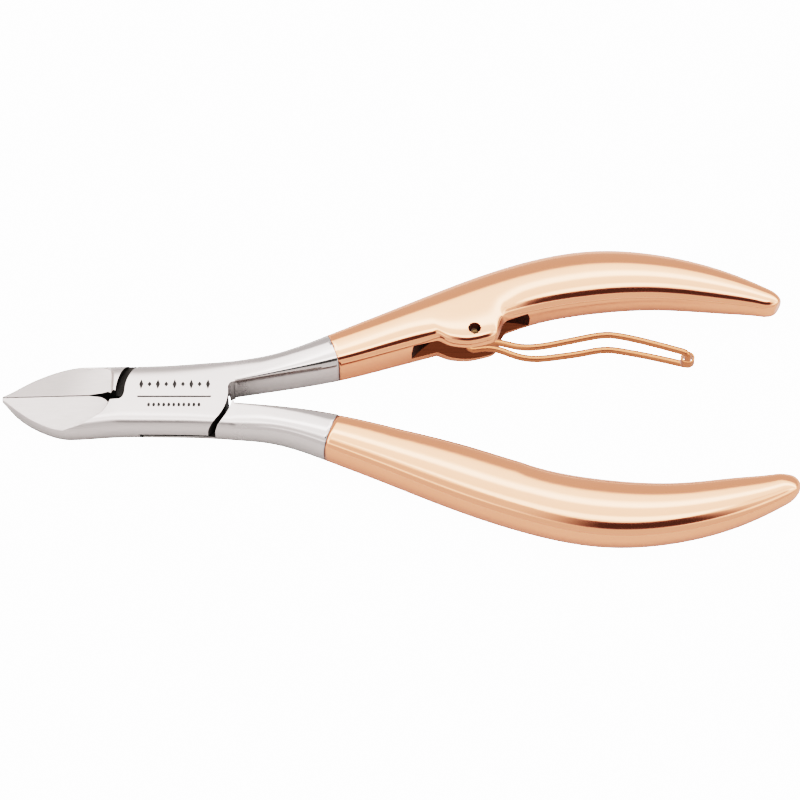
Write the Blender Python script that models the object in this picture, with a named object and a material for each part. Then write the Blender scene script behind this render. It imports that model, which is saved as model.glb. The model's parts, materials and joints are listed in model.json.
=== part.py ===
"""Cuticle nipper, 12 cm: two lap-jointed arms with sleeved handles and a fold-away wire spring.

The nipper lies on its back on the plane z = 0. The pivot axis is the z axis, the jaws point
along -x, the handles along +x and the handle with the spring lies on the +y side.
"""
import math

import bmesh
import bpy
import numpy as np
from mathutils import Vector

MM = 0.001

# Driving dimensions, in millimetres
HEAD_THICKNESS = 4.8
LAP_Z = 1.75
FIT_GAP = 0.3
JAW_SIDE_RADIUS = 7.5
ARM_SIDE_RADIUS = 8.05
FRONT_RECESS_RADIUS = 8.35
REAR_RECESS_RADIUS = 8.8
GAP_FLOOR_Z = 3.4
JAW_LENGTH = 25.9
JAW_GAP = 0.15
CUT_EDGE_TIP_Z = 3.0
CUT_EDGE_RISE = 0.045
PLATE_START_X = -10.0
SHANK_X = 9.0
HEAD_CAP_POWER = 2.5
SEAM_X = 23.6
UPPER_HANDLE_END_X = 91.3
LOWER_HANDLE_END_X = 92.5
END_ROUNDING = 2.3
END_TAPER = 0.45
HANDLE_MID = 3.75
RIVET_RADIUS = 2.2
RIVET_TOP_Z = 3.8
TANG_RADIUS = 1.3
TANG_LENGTH = 6.0
SLOT_WIDTH = 3.25
SLOT_CUTTER_RADIUS = 16.4
SLOT_CUTTER_CENTRE = (48.9, -1.9)
LOBE_START_X = 36.0
LOBE_END_X = 50.5
PIN_CENTRE = (45.0, 10.0)
PIN_RADIUS = 0.6
PIN_LENGTH = 5.4
PIN_HOLE_RADIUS = 0.88
WIRE_RADIUS = 0.48
EYE_RADIUS = 1.4
EYE_SWEEP = 280.0
ROLLER_CENTRE = (77.1, 6.45)
ROLLER_OUTER_RADIUS = 1.08
ROLLER_BORE_RADIUS = 0.78
ROLLER_LENGTH = 1.5
BEND_RADIUS = 0.7
RULE_LENGTH = 11.0
RULE_WIDTH = 0.25
RULE_DEPTH = 0.15
RULE_Y = -1.0
CUT_LOW = -1.0
CUT_HIGH = 8.0

# Fineness of the round surfaces
CAP_STEPS = 6
JAW_SPACING = 1.1
PLATE_SPACING = 1.9
ARM_SPACING = 1.9
LOBE_SPACING = 0.7
WIRE_SIDES = 8
SMOOTH_ANGLE = 35
EYE_STEPS = 16

STEEL = ("polished_steel", (0.62, 0.60, 0.59, 1.0), 0.16, 1.0)
ROSE_GOLD = ("rose_gold", (0.83, 0.52, 0.36, 1.0), 0.13, 1.0)
DARK_STEEL = ("pin_steel", (0.30, 0.20, 0.15, 1.0), 0.3, 1.0)

# Half width of the head and of each jaw, from the tip to the shank: x, half width
HEAD_OUTLINE = ((-25.9, 0.3), (-25.0, 0.85), (-24.1, 1.5), (-22.4, 2.8), (-20.5, 4.0), (-18.7, 4.9),
                (-17.0, 5.5), (-14.5, 5.8), (-11.5, 5.8), (-3.0, 5.85), (2.0, 5.95), (6.0, 6.2),
                (9.0, 6.5))
# How far in from the outline the head's edges are rounded: x, depth
HEAD_ROUNDING = ((-25.9, 0.25), (-22.0, 0.7), (-17.0, 1.2), (-14.0, 2.0), (-6.0, 2.2), (9.0, 1.9))
# Front and back surfaces of the jaws and the head, before the back is cut off flat: x, back z, front z
HEAD_FACES = ((-25.9, 1.7, 3.15), (-24.9, 0.75, 3.2), (-23.4, 0.0, 3.25), (-19.5, -0.5, 3.4),
              (-16.5, -0.7, 3.6), (-13.5, -0.7, 4.0), (-11.0, -0.5, 4.45), (-8.5, -0.3, 4.8),
              (0.0, -0.2, 4.95), (9.0, -0.1, 4.85))
# The head's far side (+y) against its outline: x, how much narrower, how much deeper its rounding
FAR_SIDE = ((-25.9, 0.0, 0.0), (-14.0, 0.0, 0.0), (-9.0, 0.25, 1.0), (-5.0, 0.25, 1.0), (-1.0, 0.15, 1.0),
            (1.5, 0.0, 1.0), (4.0, -0.1, 0.9), (9.0, 0.0, 0.35))
# The head's near side (-y) against its outline: x, how much wider
NEAR_SIDE = ((-25.9, 0.1), (-24.5, 0.35), (-20.0, 0.35), (-14.0, 0.2), (0.0, 0.15), (9.0, 0.0))
# How far out from the cutting edge the ground faces reach, for the upper and the lower jaw: x, distance
UPPER_GROUND_REACH = ((-26.9, 9.0), (-15.7, 9.0), (-15.6, 5.6), (-13.6, 5.1), (-12.2, 4.95), (-11.0, 4.8),
                      (-10.3, 4.55), (-9.9, 4.2), (-9.7, 3.7), (-9.6, 3.2))
LOWER_GROUND_REACH = ((-26.9, 9.0), (-18.1, 9.0), (-18.0, 6.0), (-16.5, 5.65), (-14.8, 5.4), (-13.5, 4.9),
                      (-12.45, 4.4), (-11.25, 3.6), (-10.6, 2.7), (-10.15, 1.8), (-9.9, 0.9))
# How steeply the ground faces fall away from the cutting edge: x, slope
UPPER_GROUND_SLOPE = ((-25.9, 0.22), (-17.0, 0.2), (-12.5, 0.0), (-9.6, -0.08))
LOWER_GROUND_SLOPE = ((-25.9, 0.2), (-17.0, 0.15), (-12.0, 0.07), (-9.6, 0.0))
# Corners of each head's clearance, from its round plate to its cutting edge: x, how far past the middle
FRONT_NOTCH = ((-7.55, 0.3), (-7.7, 0.85), (-7.95, 1.2), (-8.3, 1.38), (-9.8, 1.4), (-10.3, 0.8),
               (-11.0, 0.35))
REAR_NOTCH = ((-8.8, 0.1), (-9.5, 0.3), (-10.0, 0.55), (-10.9, 0.3))
NOTCH_END_X = -12.8
# The corner between the round plate and the shank, in the plane
CROTCH = ((8.12, 1.3), (8.35, 1.6), (8.8, 1.75), (9.3, 1.75), (12.5, 1.4), (12.5, -9.0), (-2.0, -9.0))
# Section of the trough behind a cutting edge: distance inward past the middle, z
HOLLOW_OUTLINE = ((-0.15, 2.4), (-0.5, 2.3), (-1.5, 1.0), (-2.6, -0.5), (0.5, -0.5), (0.5, 2.4))
HOLLOW_START_X = -27.0
HOLLOW_END_X = -14.0
# Shank and handle: x, centre line y, half height in the plane, centre z, half thickness
ARM_STATIONS = ((9.0, 4.15, 2.35, 2.4, 2.4), (16.0, 5.25, 2.4, 2.85, 2.75), (23.6, 7.45, 3.2, 3.2, 3.1),
                (32.0, 10.65, 3.9, 3.45, 3.35), (42.0, 14.65, 4.65, 3.65, 3.6),
                (52.5, 18.75, 4.95, 3.75, 3.75), (63.0, 21.1, 5.1, 3.75, 3.75),
                (74.0, 20.95, 4.35, 3.75, 3.45), (84.0, 18.85, 3.15, 3.75, 2.8),
                (89.5, 17.1, 2.1, 3.75, 2.15), (91.2, 16.3, 1.75, 3.75, 1.9), (92.6, 15.3, 1.3, 3.75, 1.55))
# The lower arm against the upper one: x, half width added, centre line moved out
LOWER_ARM = ((9.0, 0.0, 0.0), (20.0, 0.05, -0.05), (30.0, 0.08, -0.06), (45.0, 0.08, -0.06),
             (60.0, 0.03, 0.0), (70.0, 0.15, 0.15), (79.0, 0.3, 0.2), (86.0, 0.42, 0.05), (92.6, 0.3, 0.0))
# Superellipse powers of the arm's section: x, outer front, inner front, outer back, inner back
ARM_ROUNDNESS = ((9.0, 2.5, 5.0, 3.0, 5.0), (16.0, 2.5, 4.0, 3.0, 5.0), (23.6, 2.35, 3.1, 3.0, 5.0),
                 (32.0, 2.2, 2.7, 3.0, 5.0), (36.0, 2.15, 2.8, 3.0, 5.0), (39.5, 2.1, 4.5, 3.0, 4.5),
                 (46.5, 2.1, 4.5, 2.8, 4.0), (50.0, 2.1, 2.6, 2.7, 3.0), (54.0, 2.1, 2.4, 2.6, 2.6),
                 (92.6, 2.1, 2.3, 2.4, 2.4))
# Depths of the section's rounding as shares of the half width: x, outer side, inner side
ARM_DEPTHS = ((9.0, 0.95, 0.35), (13.0, 1.1, 0.55), (18.0, 1.0, 0.8), (22.0, 0.995, 1.0),
              (92.6, 0.995, 1.0))
# The lobe that carries the spring pin: x, how far it stands in from the handle's inner side
EAR_LOBE = ((36.8, 0.0), (37.9, 0.1), (38.6, 0.95), (39.9, 2.0), (41.1, 2.6), (42.6, 2.95), (44.2, 3.1),
            (45.1, 3.0), (45.9, 2.4), (46.8, 1.25), (47.9, 0.15), (48.8, 0.0), (50.0, 0.0))
# Centre line of one leg of the wire spring, from the eye to the roller
LEG_POINTS = ((48.2, 9.05), (51.4, 8.0), (54.2, 7.7), (57.5, 8.2), (61.5, 9.05), (65.1, 9.65), (67.8, 9.25),
              (71.5, 8.3), (75.3, 7.15))
# Half distance between the two legs along the same way: x, half distance
LEG_SPREAD = ((43.0, 0.65), (46.0, 0.7), (48.5, 0.9), (54.0, 1.55), (61.0, 1.95),
              (68.0, 1.9), (74.0, 1.65), (78.0, 1.5))


def clear_scene():
    for item in list(bpy.data.objects):
        bpy.data.objects.remove(item, do_unlink=True)


def natural_spline(points):
    """A function through (x, value) points, with a continuous second derivative."""
    x = np.array([p[0] for p in points])
    y = np.array([p[1] for p in points])
    count = len(x)
    step = np.diff(x)
    matrix = np.eye(count)
    side = np.zeros(count)
    for i in range(1, count - 1):
        matrix[i, i - 1] = step[i - 1]
        matrix[i, i] = 2 * (step[i - 1] + step[i])
        matrix[i, i + 1] = step[i]
        side[i] = 6 * ((y[i + 1] - y[i]) / step[i] - (y[i] - y[i - 1]) / step[i - 1])
    bend = np.linalg.solve(matrix, side)

    def value(at):
        i = int(np.clip(np.searchsorted(x, at) - 1, 0, count - 2))
        left = (x[i + 1] - at) / step[i]
        right = (at - x[i]) / step[i]
        curve = (left ** 3 - left) * bend[i] + (right ** 3 - right) * bend[i + 1]
        return left * y[i] + right * y[i + 1] + curve * step[i] ** 2 / 6

    return value


def linear(points):
    x = [p[0] for p in points]
    y = [p[1] for p in points]
    return lambda at: float(np.interp(at, x, y))


def column(table, index):
    return [(row[0], row[index]) for row in table]


def cap_points(depth, half, front_power, back_power):
    """Half a superellipse from its top to its bottom: (how far out, height) pairs."""
    points = []
    for i in range(2 * CAP_STEPS + 1):
        angle = math.pi / 2 - math.pi * i / (2 * CAP_STEPS)
        power = front_power if angle > 0 else back_power
        out = depth * abs(math.cos(angle)) ** (2 / power)
        height = half * abs(math.sin(angle)) ** (2 / power)
        points.append((out, math.copysign(height, math.sin(angle))))
    return points


def rounded_ring(outer, inner, low, high, outer_cap, inner_cap):
    """One closed section in the (u, z) plane, u growing towards the arm's outer side.

    A cap is (depth, front power, back power). The outer cap ends at u = outer, the inner one at u = inner.
    """
    mid = (low + high) / 2
    half = (high - low) / 2
    ring = []
    for out, height in cap_points(outer_cap[0], half, *outer_cap[1:]):
        ring.append((outer - outer_cap[0] + out, mid + height))
    for out, height in reversed(cap_points(inner_cap[0], half, *inner_cap[1:])):
        ring.append((inner + inner_cap[0] - out, mid + height))
    return ring


def new_object(name, bm, material, smooth_angle=None):
    """A mesh object in triangles, because a bent four-sided face has no exact cut."""
    bmesh.ops.recalc_face_normals(bm, faces=bm.faces)
    bmesh.ops.triangulate(bm, faces=bm.faces)
    mesh = bpy.data.meshes.new(name)
    bm.to_mesh(mesh)
    bm.free()
    if smooth_angle is not None:
        mesh.shade_smooth()
        mesh.set_sharp_from_angle(angle=math.radians(smooth_angle))
    obj = bpy.data.objects.new(name, mesh)
    bpy.context.collection.objects.link(obj)
    if material is not None:
        obj.data.materials.append(material)
    return obj


def make_material(spec):
    name, colour, roughness, metallic = spec
    material = bpy.data.materials.new(name)
    material.use_nodes = True
    shader = material.node_tree.nodes["Principled BSDF"]
    shader.inputs["Base Color"].default_value = colour
    shader.inputs["Roughness"].default_value = roughness
    shader.inputs["Metallic"].default_value = metallic
    return material


def loft(rings):
    """A closed body through rings of equal length, each a list of (x, y, z) in millimetres."""
    bm = bmesh.new()
    rows = [[bm.verts.new([MM * c for c in point]) for point in ring] for ring in rings]
    size = len(rows[0])
    for near, far in zip(rows, rows[1:]):
        for i in range(size):
            j = (i + 1) % size
            bm.faces.new((near[i], near[j], far[j], far[i]))
    bm.faces.new(rows[0])
    bm.faces.new(list(reversed(rows[-1])))
    bmesh.ops.remove_doubles(bm, verts=bm.verts, dist=0.001 * MM)
    return bm


def steps_between(start, end, spacing):
    count = max(2, round((end - start) / spacing) + 1)
    return [float(v) for v in np.linspace(start, end, count)]


def head_side(x, far):
    """Half width and rounding cap of the head's far (+y) or near (-y) side at x."""
    width = natural_spline(HEAD_OUTLINE)(x)
    depth = linear(HEAD_ROUNDING)(x)
    if far:
        width -= linear(column(FAR_SIDE, 1))(x)
        depth += linear(column(FAR_SIDE, 2))(x)
    else:
        width += linear(NEAR_SIDE)(x)
    return width, (min(depth, width), HEAD_CAP_POWER, HEAD_CAP_POWER)


def head_faces(x):
    """Back and front of the head's bar at x."""
    low = natural_spline(column(HEAD_FACES, 1))(x)
    return low, min(HEAD_THICKNESS, natural_spline(column(HEAD_FACES, 2))(x))


def jaw_ring(x, side):
    """A section of the jaw that lies opposite the given side, with a sharp inner edge."""
    width, cap = head_side(x, side < 0)
    ring = rounded_ring(-JAW_GAP, -width, *head_faces(x), (0.0, 2.0, 2.0), cap)
    return [(x, side * u, max(0.0, z)) for u, z in ring]


def plate_ring(x, side):
    """A section of the lap plate's full bar."""
    outer, outer_cap = head_side(x, side > 0)
    inner, inner_cap = head_side(x, side < 0)
    ring = rounded_ring(outer, -inner, *head_faces(x), outer_cap, inner_cap)
    return [(x, side * u, max(0.0, z)) for u, z in ring]


def arm_lean(x):
    """The direction of the arm's centre line, eased in where the shank leaves the head."""
    centre = natural_spline(column(ARM_STATIONS, 1))
    slope = (centre(x + 0.01) - centre(x - 0.01)) / 0.02
    return math.atan(slope) * min(1.0, max(0.0, (x - SHANK_X) / 8.0))


def arm_ring(x, side, lobe, shrink=0.0):
    """A section of the shank or handle, square to its centre line."""
    centre = natural_spline(column(ARM_STATIONS, 1))(x)
    half = natural_spline(column(ARM_STATIONS, 2))(x) - shrink
    if side < 0:
        half += natural_spline(column(LOWER_ARM, 1))(x)
        centre += natural_spline(column(LOWER_ARM, 2))(x)
    mid = min(HANDLE_MID, natural_spline(column(ARM_STATIONS, 3))(x))
    thick = min(mid, natural_spline(column(ARM_STATIONS, 4))(x)) - shrink
    inner = half
    if lobe and EAR_LOBE[0][0] < x < EAR_LOBE[-1][0]:
        inner += max(0.0, natural_spline(EAR_LOBE)(x))
    powers = [linear(column(ARM_ROUNDNESS, i))(x) for i in range(1, 5)]
    outer_cap = (half * linear(column(ARM_DEPTHS, 1))(x), powers[0], powers[2])
    inner_cap = (inner * linear(column(ARM_DEPTHS, 2))(x), powers[1], powers[3])
    ring = rounded_ring(half, -inner, mid - thick, mid + thick, outer_cap, inner_cap)
    lean = arm_lean(x)
    return [(x - u * math.sin(lean), side * (centre + u * math.cos(lean)), z) for u, z in ring]


def as_cutter(obj):
    obj.hide_render = True
    obj.display_type = "WIRE"
    return obj


def prism(name, outline, low, high):
    """An upright cutter with the given outline in the plane."""
    bm = bmesh.new()
    base = [bm.verts.new((MM * x, MM * y, MM * low)) for x, y in outline]
    top = [bm.verts.new((MM * x, MM * y, MM * high)) for x, y in outline]
    bm.faces.new(base)
    bm.faces.new(top)
    for i in range(len(outline)):
        j = (i + 1) % len(outline)
        bm.faces.new((base[i], base[j], top[j], top[i]))
    return as_cutter(new_object(name, bm, None))


def cylinder(name, radius, low, high, centre=(0.0, 0.0), sides=48, material=None, smooth=None):
    bm = bmesh.new()
    bmesh.ops.create_cone(bm, cap_ends=True, segments=sides, radius1=MM * radius, radius2=MM * radius,
                          depth=MM * (high - low))
    bmesh.ops.translate(bm, verts=bm.verts, vec=(MM * centre[0], MM * centre[1], MM * (low + high) / 2))
    return new_object(name, bm, material, smooth)


def cut(obj, cutter, operation="DIFFERENCE"):
    modifier = obj.modifiers.new(cutter.name, "BOOLEAN")
    modifier.operation = operation
    modifier.solver = "EXACT"
    modifier.object = cutter


def arc(radius, start, end, steps=18):
    points = []
    for i in range(steps + 1):
        angle = math.radians(start + (end - start) * i / steps)
        points.append((radius * math.cos(angle), radius * math.sin(angle)))
    return points


def gap_outline(side, notch):
    """What the arm lacks beside its jaw: all outside its round plate there, up to the cutting edge."""
    outline = arc(JAW_SIDE_RADIUS, 75, 178)
    outline += [(x, -past) for x, past in notch]
    outline += [(NOTCH_END_X, -JAW_GAP), (NOTCH_END_X, 9.0), (2.0, 9.0)]
    return [(x, side * y) for x, y in outline]


def crotch_outline(side):
    """What the arm lacks beside its shank: all outside its round plate there."""
    return [(x, side * y) for x, y in arc(ARM_SIDE_RADIUS, -105, 6) + list(CROTCH)]


def cut_recess(body, name, front):
    """The round recess for the other arm's plate: tight at the jaw, wider at the shank."""
    if front:
        low, high = -1.0, LAP_Z + FIT_GAP / 2
        shank_side = arc(FRONT_RECESS_RADIUS, -90, 120)
    else:
        low, high = LAP_Z - FIT_GAP / 2, 8.0
        shank_side = arc(REAR_RECESS_RADIUS, -120, 90)
        cut(body, as_cutter(cylinder(name + "_jaw_gap", REAR_RECESS_RADIUS, GAP_FLOOR_Z, high, sides=64)))
    cut(body, as_cutter(cylinder(name + "_recess", JAW_SIDE_RADIUS + FIT_GAP, low, high, sides=64)))
    cut(body, prism(name + "_shank_recess", shank_side, low, high))


def ground_cutter(side):
    """A block whose twisted lower face is the ground face of the jaw on the given side."""
    reach = UPPER_GROUND_REACH if side > 0 else LOWER_GROUND_REACH
    slope = linear(UPPER_GROUND_SLOPE if side > 0 else LOWER_GROUND_SLOPE)
    rings = []
    for x, out in reach:
        edge_z = CUT_EDGE_TIP_Z + CUT_EDGE_RISE * (x + JAW_LENGTH)
        inner_z = edge_z + 2.0 * slope(x)
        outer_z = edge_z - out * slope(x)
        rings.append([(x, side * -2.0, inner_z), (x, side * out, outer_z), (x, side * out, 9.0),
                      (x, side * -2.0, 9.0)])
    return as_cutter(new_object("ground_cutter_%s" % ("upper" if side > 0 else "lower"), loft(rings), None))


def hollow_cutter(side):
    """A slanting trough that thins the jaw behind its cutting edge."""
    rings = [[(x, side * -y, z) for y, z in HOLLOW_OUTLINE] for x in (HOLLOW_START_X, HOLLOW_END_X)]
    return as_cutter(new_object("hollow_cutter_%s" % ("upper" if side > 0 else "lower"), loft(rings), None))


def tang(name, side, radius, start, end):
    """A round spigot on the arm's centre line, measured along it from the seam."""
    bm = bmesh.new()
    bmesh.ops.create_cone(bm, cap_ends=True, segments=24, radius1=MM * radius, radius2=MM * radius,
                          depth=MM * (end - start))
    obj = as_cutter(new_object(name, bm, None, SMOOTH_ANGLE))
    lean = arm_lean(SEAM_X)
    centre_y = natural_spline(column(ARM_STATIONS, 1))(SEAM_X)
    along = (start + end) / 2
    obj.location = (MM * (SEAM_X + along * math.cos(lean)), MM * side * (centre_y + along * math.sin(lean)),
                    MM * natural_spline(column(ARM_STATIONS, 3))(SEAM_X))
    obj.rotation_euler = (0.0, math.pi / 2, side * lean)
    return obj


def build_head(name, front, steel):
    """One arm's bare steel part: jaw on one side, lap plate, shank on the other side.

    The front arm has its shank at +y, its jaw at -y and its plate on the front half of the head.
    """
    side = 1.0 if front else -1.0
    rings = [jaw_ring(x, side) for x in steps_between(-JAW_LENGTH, PLATE_START_X, JAW_SPACING)]
    plate_stations = steps_between(PLATE_START_X + FIT_GAP, SHANK_X - FIT_GAP, PLATE_SPACING)
    rings += [plate_ring(x, side) for x in plate_stations]
    rings += [arm_ring(x, side, False) for x in steps_between(SHANK_X, SEAM_X - FIT_GAP / 2, ARM_SPACING)]
    body = new_object(name, loft(rings), steel, SMOOTH_ANGLE)

    cut(body, prism(name + "_gap", gap_outline(side, FRONT_NOTCH if front else REAR_NOTCH), CUT_LOW, CUT_HIGH))
    cut(body, prism(name + "_crotch", crotch_outline(side), CUT_LOW, CUT_HIGH))
    cut_recess(body, name, front)
    cut(body, ground_cutter(-side))
    cut(body, hollow_cutter(-side))
    bore_top = RIVET_TOP_Z + FIT_GAP if front else CUT_HIGH
    cut(body, as_cutter(cylinder(name + "_bore", RIVET_RADIUS + FIT_GAP, CUT_LOW, bore_top)))
    cut(body, tang(name + "_tang", side, TANG_RADIUS, -2.0, TANG_LENGTH), "UNION")
    if front:
        cut(body, prism("rule_cutter", rule_outline(), HEAD_THICKNESS - RULE_DEPTH, CUT_HIGH))
    return body


def rule_outline():
    """A plain engraved rule across the front of the lap plate."""
    half_length = RULE_LENGTH / 2
    low = RULE_Y - RULE_WIDTH / 2
    high = RULE_Y + RULE_WIDTH / 2
    return ((-half_length, low), (half_length, low), (half_length, high), (-half_length, high))


def build_handle(name, side, lobe, end_x, gold):
    """A sleeved handle; the one with the lobe is slotted and bored for the spring."""
    rings = []
    for x in steps_between(SEAM_X + FIT_GAP / 2, LOBE_START_X, ARM_SPACING):
        rings.append(arm_ring(x, side, lobe))
    spacing = LOBE_SPACING if lobe else ARM_SPACING
    for x in steps_between(LOBE_START_X, LOBE_END_X, spacing)[1:]:
        rings.append(arm_ring(x, side, lobe))
    for x in steps_between(LOBE_END_X, end_x - END_ROUNDING, ARM_SPACING)[1:]:
        rings.append(arm_ring(x, side, lobe))
    for angle in (30.0, 50.0, 70.0, 90.0):
        turn = math.radians(angle)
        x = end_x - END_ROUNDING * (1 - math.sin(turn))
        rings.append(arm_ring(x, side, lobe, END_ROUNDING * END_TAPER * (1 - math.cos(turn))))
    body = new_object(name, loft(rings), gold, SMOOTH_ANGLE)
    cut(body, tang(name + "_socket", side, TANG_RADIUS + FIT_GAP, -2.0, TANG_LENGTH + FIT_GAP))
    if lobe:
        low = HANDLE_MID - SLOT_WIDTH / 2
        high = HANDLE_MID + SLOT_WIDTH / 2
        cut(body, as_cutter(cylinder("slot_cutter", SLOT_CUTTER_RADIUS, low, high, SLOT_CUTTER_CENTRE, 96)))
        cut(body, as_cutter(cylinder("pin_hole_cutter", PIN_HOLE_RADIUS, -2.0, 9.0, PIN_CENTRE, 24)))
    return body


def eye_points(z):
    """The eye of one spring leg round the pin, ending where the leg leaves under the pin."""
    points = []
    for i in range(EYE_STEPS + 1):
        angle = math.radians(EYE_SWEEP * i / EYE_STEPS)
        points.append((PIN_CENTRE[0] + EYE_RADIUS * math.cos(angle),
                       PIN_CENTRE[1] + EYE_RADIUS * math.sin(angle), z))
    return points


def leg_points():
    """Centre line of the front leg, from its eye to the bend before the roller."""
    spread = linear(LEG_SPREAD)
    eye = eye_points(HANDLE_MID + spread(PIN_CENTRE[0]))
    start = eye[-1]
    height = natural_spline(((start[0], start[1]),) + LEG_POINTS)
    end_x = ROLLER_CENTRE[0] - BEND_RADIUS
    points = list(eye)
    for x in steps_between(start[0], end_x, 1.2)[1:]:
        points.append((x, height(x), HANDLE_MID + spread(x)))
    corner_y = height(end_x)
    half = spread(ROLLER_CENTRE[0])
    for angle in (22.5, 45.0, 67.5, 90.0):
        turn = math.radians(angle)
        share = math.sin(turn)
        points.append((end_x + BEND_RADIUS * share, corner_y + (ROLLER_CENTRE[1] - corner_y) * share,
                       HANDLE_MID + half - BEND_RADIUS * (1 - math.cos(turn))))
    return points


def sweep(points, radius, sides):
    """A closed round wire along the points, with a frame carried along without twist."""
    path = [Vector(p) for p in points]
    tangents = []
    for i in range(len(path)):
        ahead = path[min(i + 1, len(path) - 1)]
        behind = path[max(i - 1, 0)]
        tangents.append((ahead - behind).normalized())
    normal = tangents[0].orthogonal().normalized()
    rings = []
    for point, tangent in zip(path, tangents):
        normal = (normal - tangent * normal.dot(tangent)).normalized()
        side = tangent.cross(normal)
        ring = []
        for k in range(sides):
            angle = 2 * math.pi * k / sides
            offset = normal * math.cos(angle) + side * math.sin(angle)
            ring.append(tuple(point + radius * offset))
        rings.append(ring)
    return loft(rings)


def build_spring(gold):
    front = leg_points()
    back = [(x, y, 2 * HANDLE_MID - z) for x, y, z in reversed(front)]
    return new_object("wire_spring", sweep(front + back, WIRE_RADIUS, WIRE_SIDES), gold, 60)


def build_roller(gold):
    """A short tube on the spring's cross-bar."""
    low = HANDLE_MID - ROLLER_LENGTH / 2
    high = HANDLE_MID + ROLLER_LENGTH / 2
    roller = cylinder("roller_sleeve", ROLLER_OUTER_RADIUS, low, high, ROLLER_CENTRE, 32, gold, SMOOTH_ANGLE)
    bore = cylinder("roller_bore", ROLLER_BORE_RADIUS, low - 1.0, high + 1.0, ROLLER_CENTRE, 32)
    cut(roller, as_cutter(bore))
    return roller


def set_origin(obj, x, y, z):
    """Move an object's origin to a point without moving its surface."""
    shift = (MM * x, MM * y, MM * z)
    for vertex in obj.data.vertices:
        vertex.co = (vertex.co.x - shift[0], vertex.co.y - shift[1], vertex.co.z - shift[2])
    obj.location = shift


def main():
    clear_scene()
    steel = make_material(STEEL)
    gold = make_material(ROSE_GOLD)
    dark = make_material(DARK_STEEL)
    build_head("front_head", True, steel)
    build_head("rear_head", False, steel)
    build_handle("upper_handle", 1.0, True, UPPER_HANDLE_END_X, gold)
    build_handle("lower_handle", -1.0, False, LOWER_HANDLE_END_X, gold)
    cylinder("pivot_rivet", RIVET_RADIUS, 0.0, RIVET_TOP_Z, material=steel, smooth=SMOOTH_ANGLE)
    pin_low = HANDLE_MID - PIN_LENGTH / 2
    pin_high = HANDLE_MID + PIN_LENGTH / 2
    cylinder("spring_pin", PIN_RADIUS, pin_low, pin_high, PIN_CENTRE, 20, dark, SMOOTH_ANGLE)
    spring = build_spring(gold)
    set_origin(spring, PIN_CENTRE[0], PIN_CENTRE[1], HANDLE_MID)
    roller = build_roller(gold)
    set_origin(roller, ROLLER_CENTRE[0], ROLLER_CENTRE[1], HANDLE_MID)


main()
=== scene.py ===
"""Looks of the cuticle nipper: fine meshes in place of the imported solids, metals, studio and camera.

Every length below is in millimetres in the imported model's frame, and MM turns it into metres.
"""

import json
import math

import bmesh
import bpy
import numpy as np
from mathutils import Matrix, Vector
from mathutils.bvhtree import BVHTree

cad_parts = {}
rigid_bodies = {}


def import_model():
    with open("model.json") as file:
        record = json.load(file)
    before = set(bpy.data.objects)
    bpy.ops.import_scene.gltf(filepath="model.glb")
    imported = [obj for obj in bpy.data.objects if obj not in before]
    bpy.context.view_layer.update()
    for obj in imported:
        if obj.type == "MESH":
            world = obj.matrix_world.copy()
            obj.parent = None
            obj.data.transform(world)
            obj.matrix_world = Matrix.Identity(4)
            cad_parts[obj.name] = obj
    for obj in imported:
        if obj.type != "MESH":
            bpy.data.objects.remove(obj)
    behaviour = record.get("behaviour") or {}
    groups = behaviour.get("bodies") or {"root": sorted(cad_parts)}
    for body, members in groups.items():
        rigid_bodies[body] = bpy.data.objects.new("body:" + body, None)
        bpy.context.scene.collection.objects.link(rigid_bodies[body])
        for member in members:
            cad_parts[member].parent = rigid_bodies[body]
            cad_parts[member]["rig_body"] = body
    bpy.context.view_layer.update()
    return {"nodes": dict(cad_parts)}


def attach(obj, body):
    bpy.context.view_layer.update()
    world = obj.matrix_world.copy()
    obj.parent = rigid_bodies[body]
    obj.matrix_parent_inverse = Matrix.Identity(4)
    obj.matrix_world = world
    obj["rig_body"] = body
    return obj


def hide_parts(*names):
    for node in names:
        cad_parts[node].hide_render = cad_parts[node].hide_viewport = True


MM = 0.001

# The shape, in millimetres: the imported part's numbers, with tighter gaps and a finer spring and slot
HEAD_THICKNESS = 4.8
LAP_Z = 1.75
FIT_GAP = 0.3
SEAM_GAP = 0.08
JAW_SIDE_RADIUS = 7.5
ARM_SIDE_RADIUS = 8.05
FRONT_RECESS_RADIUS = 8.35
REAR_RECESS_RADIUS = 8.8
# Height of the floor left in the rear head's gap round the lap plate, a floor painted with shade
GAP_FLOOR_Z = 3.4
JAW_LENGTH = 25.9
JAW_GAP = 0.06
CUT_EDGE_TIP_Z = 3.0
CUT_EDGE_RISE = 0.045
SHANK_X = 9.0
HEAD_CAP_POWER = 2.5
SEAM_X = 23.6
UPPER_HANDLE_END_X = 91.3
LOWER_HANDLE_END_X = 92.3
HANDLE_MID = 3.75
RIVET_RADIUS = 2.2
RIVET_TOP_Z = 3.8
SLOT_WIDTH = 2.9
SLOT_CUTTER_RADIUS = 16.4
SLOT_CUTTER_CENTRE = (48.9, -1.9)
PIN_CENTRE = (45.0, 10.0)
PIN_RADIUS = 0.55
PIN_LENGTH = 5.4
PIN_HOLE_RADIUS = 0.88
WIRE_RADIUS = 0.53
EYE_RADIUS = 1.15
ROLLER_CENTRE = (77.1, 6.45)
ROLLER_OUTER_RADIUS = 1.08
ROLLER_BORE_RADIUS = 0.78
ROLLER_LENGTH = 1.5
BEND_RADIUS = 0.7
END_TAPER = 0.45
UPPER_END_ROUNDING = 1.8
LOWER_END_ROUNDING = 2.4
LOBE_START_X = 36.0
LOBE_END_X = 50.5
LAP_FLOOR_FRONT = LAP_Z + FIT_GAP / 2
LAP_FLOOR_REAR = LAP_Z - FIT_GAP / 2
HOLLOW_START_X = -27.0
HOLLOW_END_X = -14.0
ROLLER_RIM = 0.12
CUT_LOW = -1.0
CUT_HIGH = 8.0
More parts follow.
